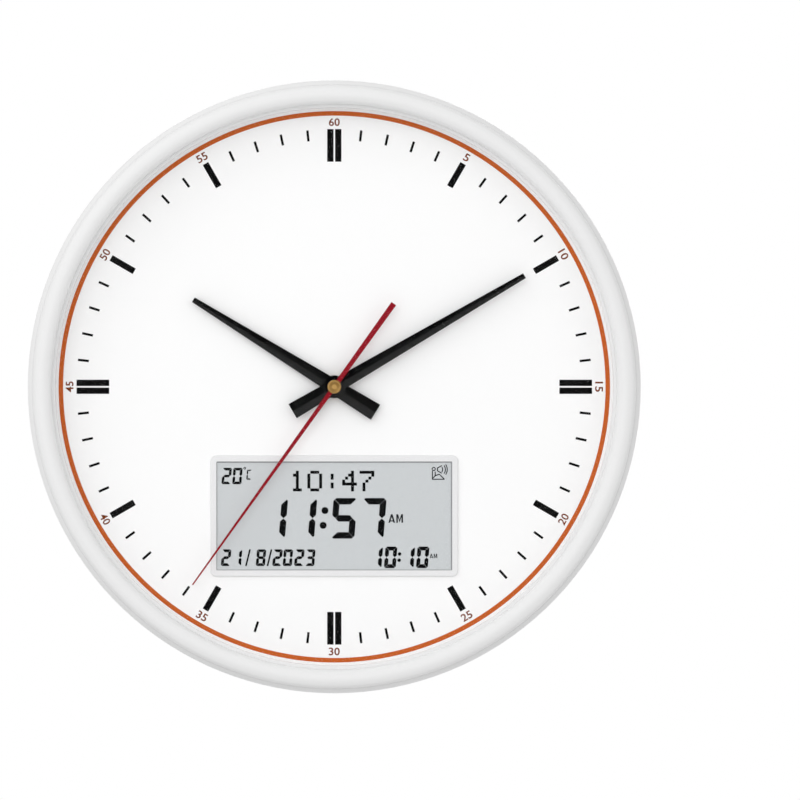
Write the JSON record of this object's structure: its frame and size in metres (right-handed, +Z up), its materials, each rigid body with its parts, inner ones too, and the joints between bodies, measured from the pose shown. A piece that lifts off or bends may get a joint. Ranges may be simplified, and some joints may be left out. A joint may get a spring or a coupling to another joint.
{
  "type": "wall clock",
  "caption": "Round white wall clock with black baton hands, a red seconds needle, minute track with numerals and a digital panel below the centre.",
  "frame": {"origin": "centre of the keyhole entry on the wall plane, where the wall screw goes in", "axes": "+Z up, front toward -Y, +Y toward the wall, +X to the right seen from the front"},
  "size_m": [0.33, 0.045, 0.33],
  "materials": {
    "white_gloss": "glossy moulded white",
    "pane": "clear",
    "white_matte": "satin white",
    "dial_print": "printed, satin",
    "grey_plastic": "moulded black",
    "steel": "zinc plated",
    "copper": "enamelled copper wire",
    "brass": "turned, polished",
    "magnet": "sintered",
    "gear_plastic": "natural acetal",
    "board": "green solder mask",
    "chip": "moulded black",
    "can": "drawn can",
    "cell": "plain wrapped cell",
    "rubber": "soft",
    "hand_black": "satin black",
    "hand_red": "satin crimson",
    "lcd": "grey reflective panel",
    "light_guide": "clear guide with white reflector",
    "button_grey": "moulded grey",
    "cone": "pressed paper",
    "lead": "soft insulation"
  },
  "bodies": {
    "case": {"bezel_frame": "white_gloss", "front_glass": "pane", "spacer_ring": "white_matte", "dial": "dial_print", "back_plate": "white_matte", "case_screws": "steel", "hanger_bracket": "steel", "hanger_screws": "steel", "movement_base": "grey_plastic", "movement_cover": "grey_plastic", "stator": "steel", "coil_bobbin": "gear_plastic", "coil": "copper", "movement_pcb": "board", "movement_crystal": "can", "movement_chip": "chip", "movement_cell": "cell", "movement_contacts": "steel", "rubber_washer": "rubber", "dial_washer": "brass", "dial_nut": "brass", "lcd_window_frame": "white_gloss", "lcd_panel": "lcd", "lcd_backing": "light_guide", "zebra_strips": "rubber", "main_pcb": "board", "board_screws": "steel", "main_chips": "chip", "main_crystal": "can", "capacitors": "can", "tact_switches": "chip", "slide_switch_body": "chip", "module_housing": "white_matte", "module_screws": "steel", "speaker": "cone", "module_cells": "cell", "module_contacts": "steel", "speaker_leads": "lead"},
    "hour_arm": {"hour_wheel": "gear_plastic", "hour_hand": "hand_black"},
    "minute_arm": {"cannon_pinion": "brass", "clutch_spring": "brass", "minute_hand": "hand_black"},
    "seconds_arm": {"seconds_wheel": "gear_plastic", "seconds_hand": "hand_red", "hand_cap": "brass"},
    "centre_wheel": {"centre_wheel": "gear_plastic"},
    "third_wheel": {"third_wheel": "gear_plastic"},
    "fifth_wheel": {"fifth_wheel": "gear_plastic"},
    "rotor": {"rotor": "magnet"},
    "minute_wheel": {"minute_wheel": "gear_plastic"},
    "setting_knob": {"setting_knob": "gear_plastic"},
    "slide_knob": {"slide_switch_knob": "button_grey"},
    "battery_door": {"battery_door": "white_matte"},
    "button_set": {"button_set": "button_grey"},
    "button_mode": {"button_mode": "button_grey"},
    "button_up": {"button_up": "button_grey"},
    "button_light": {"button_light": "button_grey"},
    "button_sound": {"button_sound": "button_grey"},
    "button_down": {"button_down": "button_grey"}
  },
  "joints": [
    {"name": "seconds_hand_spin", "type": "hinge", "parent": "case", "child": "seconds_arm", "pos_m": [0, -0.01, -0.118], "axis": [0, 1, 0], "continuous": true},
    {"name": "minute_hand_spin", "type": "hinge", "parent": "case", "child": "minute_arm", "pos_m": [0, -0.01, -0.118], "axis": [0, 1, 0], "continuous": true},
    {"name": "hour_hand_spin", "type": "hinge", "parent": "case", "child": "hour_arm", "pos_m": [0, -0.01, -0.118], "axis": [0, 1, 0], "continuous": true},
    {"name": "fifth_wheel_spin", "type": "hinge", "parent": "case", "child": "fifth_wheel", "pos_m": [0.00792, -0.01, -0.118], "axis": [0, 1, 0], "continuous": true},
    {"name": "rotor_spin", "type": "hinge", "parent": "case", "child": "rotor", "pos_m": [0.01371, -0.01, -0.12011], "axis": [0, 1, 0], "continuous": true},
    {"name": "third_wheel_spin", "type": "hinge", "parent": "case", "child": "third_wheel", "pos_m": [0.0045, -0.01, -0.11021], "axis": [0, 1, 0], "continuous": true},
    {"name": "centre_wheel_spin", "type": "hinge", "parent": "case", "child": "centre_wheel", "pos_m": [0, -0.01, -0.118], "axis": [0, 1, 0], "continuous": true},
    {"name": "minute_wheel_spin", "type": "hinge", "parent": "case", "child": "minute_wheel", "pos_m": [-0.008, -0.01, -0.118], "axis": [0, 1, 0], "continuous": true},
    {"name": "setting_knob_spin", "type": "hinge", "parent": "case", "child": "setting_knob", "pos_m": [-0.01566, -0.01, -0.11157], "axis": [0, 1, 0], "continuous": true},
    {"name": "slide_switch_slide", "type": "slide", "parent": "case", "child": "slide_knob", "axis": [1, 0, 0], "range_m": [-0.0015, 0.0015]},
    {"name": "battery_door_slide", "type": "slide", "parent": "case", "child": "battery_door", "axis": [0, 0, -1], "range_m": [0, 0.018]},
    {"name": "button_set_press", "type": "slide", "parent": "case", "child": "button_set", "axis": [0, -1, 0], "range_m": [0, 0.001], "stiffness_N_per_m": 800, "springref_m": -0.0005},
    {"name": "button_mode_press", "type": "slide", "parent": "case", "child": "button_mode", "axis": [0, -1, 0], "range_m": [0, 0.001], "stiffness_N_per_m": 800, "springref_m": -0.0005},
    {"name": "button_up_press", "type": "slide", "parent": "case", "child": "button_up", "axis": [0, -1, 0], "range_m": [0, 0.001], "stiffness_N_per_m": 800, "springref_m": -0.0005},
    {"name": "button_light_press", "type": "slide", "parent": "case", "child": "button_light", "axis": [0, -1, 0], "range_m": [0, 0.001], "stiffness_N_per_m": 800, "springref_m": -0.0005},
    {"name": "button_sound_press", "type": "slide", "parent": "case", "child": "button_sound", "axis": [0, -1, 0], "range_m": [0, 0.001], "stiffness_N_per_m": 800, "springref_m": -0.0005},
    {"name": "button_down_press", "type": "slide", "parent": "case", "child": "button_down", "axis": [0, -1, 0], "range_m": [0, 0.001], "stiffness_N_per_m": 800, "springref_m": -0.0005}
  ],
  "couplings": [
    {"joint": "fifth_wheel_spin", "follows": "seconds_hand_spin", "ratio": -5},
    {"joint": "rotor_spin", "follows": "seconds_hand_spin", "ratio": 30},
    {"joint": "third_wheel_spin", "follows": "seconds_hand_spin", "ratio": -0.13333},
    {"joint": "centre_wheel_spin", "follows": "seconds_hand_spin", "ratio": 0.016667},
    {"joint": "minute_wheel_spin", "follows": "minute_hand_spin", "ratio": -0.33333},
    {"joint": "hour_hand_spin", "follows": "minute_hand_spin", "ratio": 0.083333},
    {"joint": "setting_knob_spin", "follows": "minute_hand_spin", "ratio": 0.5}
  ]
}
